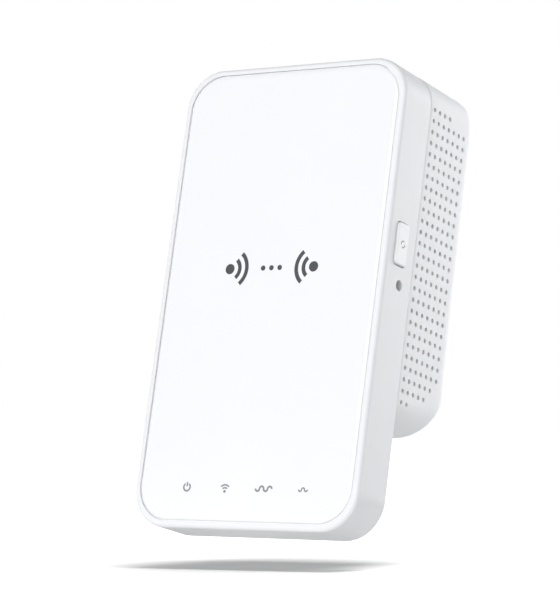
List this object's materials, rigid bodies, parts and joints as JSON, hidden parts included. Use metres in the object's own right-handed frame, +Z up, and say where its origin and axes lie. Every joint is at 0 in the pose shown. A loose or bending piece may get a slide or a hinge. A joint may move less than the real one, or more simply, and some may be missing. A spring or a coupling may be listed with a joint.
{
  "type": "wifi range extender",
  "caption": "Upright white wall-plug wifi range extender with a flat front panel, status lights, a side pairing button and a vented rear housing with plug blades.",
  "frame": {"origin": "centre between the plug blades, on the flat back face that meets the wall outlet", "axes": "+X to the right as seen from the front, +Y into the wall along the plug blades, +Z up"},
  "size_m": [0.07, 0.0596, 0.1248],
  "materials": {
    "panel_white": "glossy flat white moulding, faintly cool",
    "housing_white": "satin white moulded plastic",
    "rear_white": "fine matt white moulded plastic",
    "button_white": "satin white button cap",
    "label_silver": "blank pale grey film label",
    "blade_nickel": "nickel-plated brass blades",
    "contact_brass": "plain folded brass strip",
    "carrier_black": "black moulded insulator",
    "board_green": "green solder mask on glass-fibre board",
    "chip_black": "black moulded chip package",
    "shield_steel": "tinned sheet-metal can",
    "spreader_aluminium": "plain aluminium plate",
    "pad_blue": "soft blue-grey thermal pad",
    "led_amber": "small moulded light-emitting diode",
    "guide_clear": "clear polished acrylic",
    "shield_black": "matt black moulding that keeps the lights apart",
    "ferrite_grey": "dark grey sintered ferrite",
    "winding_yellow": "yellow polyester tape round the windings",
    "can_sleeve": "dark shrink sleeve on an aluminium can",
    "choke_wound": "enamelled copper winding on a ring core",
    "disc_blue": "blue lacquered ceramic disc",
    "fuse_brown": "brown moulded fuse body",
    "opto_white": "off-white moulded package",
    "sheet_amber": "thin insulating film",
    "lead_red": "red lead insulation",
    "lead_black": "black lead insulation",
    "coax_black": "thin coaxial lead",
    "coax_gold": "gold-plated coaxial plug",
    "antenna_green": "printed antenna on a small board",
    "switch_black": "black moulded switch body",
    "plunger_grey": "dark grey moulded switch plunger",
    "screw_steel": "zinc-plated pan-head screw"
  },
  "bodies": {
    "housing": {"front_panel": "panel_white", "front_housing": "housing_white", "rear_housing": "rear_white", "rating_label": "label_silver", "blade_neutral": "blade_nickel", "blade_live": "blade_nickel", "blade_carrier": "carrier_black", "blade_contact_neutral": "contact_brass", "blade_contact_live": "contact_brass", "pair_switch_body": "switch_black", "reset_switch_body": "switch_black", "main_board": "board_green", "processor_shield": "shield_steel", "radio_shield": "shield_steel", "processor_chip": "chip_black", "memory_chip": "chip_black", "flash_chip": "chip_black", "radio_chip": "chip_black", "thermal_pad": "pad_blue", "heat_spreader": "spreader_aluminium", "led_power": "led_amber", "led_signal": "led_amber", "led_low_band": "led_amber", "led_high_band": "led_amber", "light_guide": "guide_clear", "light_shield": "shield_black", "power_board": "board_green", "transformer_core": "ferrite_grey", "transformer_winding": "winding_yellow", "bulk_capacitor_1": "can_sleeve", "bulk_capacitor_2": "can_sleeve", "output_capacitor": "can_sleeve", "bridge_rectifier": "chip_black", "power_controller_chip": "chip_black", "optocoupler": "opto_white", "output_diode": "chip_black", "fuse": "fuse_brown", "y_capacitor": "disc_blue", "common_mode_choke": "choke_wound", "insulating_sheet": "sheet_amber", "power_lead_positive": "lead_red", "power_lead_negative": "lead_black", "antenna_left": "antenna_green", "antenna_right": "antenna_green", "antenna_cable_left": "coax_black", "antenna_cable_right": "coax_black", "antenna_plug_left": "coax_gold", "antenna_plug_right": "coax_gold", "main_board_screw_1": "screw_steel", "power_board_screw_1": "screw_steel", "main_board_screw_2": "screw_steel", "power_board_screw_2": "screw_steel", "main_board_screw_3": "screw_steel", "power_board_screw_3": "screw_steel", "main_board_screw_4": "screw_steel", "power_board_screw_4": "screw_steel"},
    "pair_button": {"pair_button": "button_white"},
    "pair_switch_plunger": {"pair_switch_plunger": "plunger_grey"},
    "reset_switch_plunger": {"reset_switch_plunger": "plunger_grey"}
  },
  "joints": [
    {"name": "pair_button_press", "type": "slide", "parent": "housing", "child": "pair_button", "axis": [-1, 0, 0], "range_m": [0, 0.0005], "stiffness_N_per_m": 400},
    {"name": "pair_switch_press", "type": "slide", "parent": "housing", "child": "pair_switch_plunger", "axis": [-1, 0, 0], "range_m": [0, 0.0003]},
    {"name": "reset_switch_press", "type": "slide", "parent": "housing", "child": "reset_switch_plunger", "axis": [-1, 0, 0], "range_m": [0, 0.0003], "stiffness_N_per_m": 400}
  ],
  "couplings": [
    {"joint": "pair_switch_press", "follows": "pair_button_press", "ratio": 0.6}
  ]
}
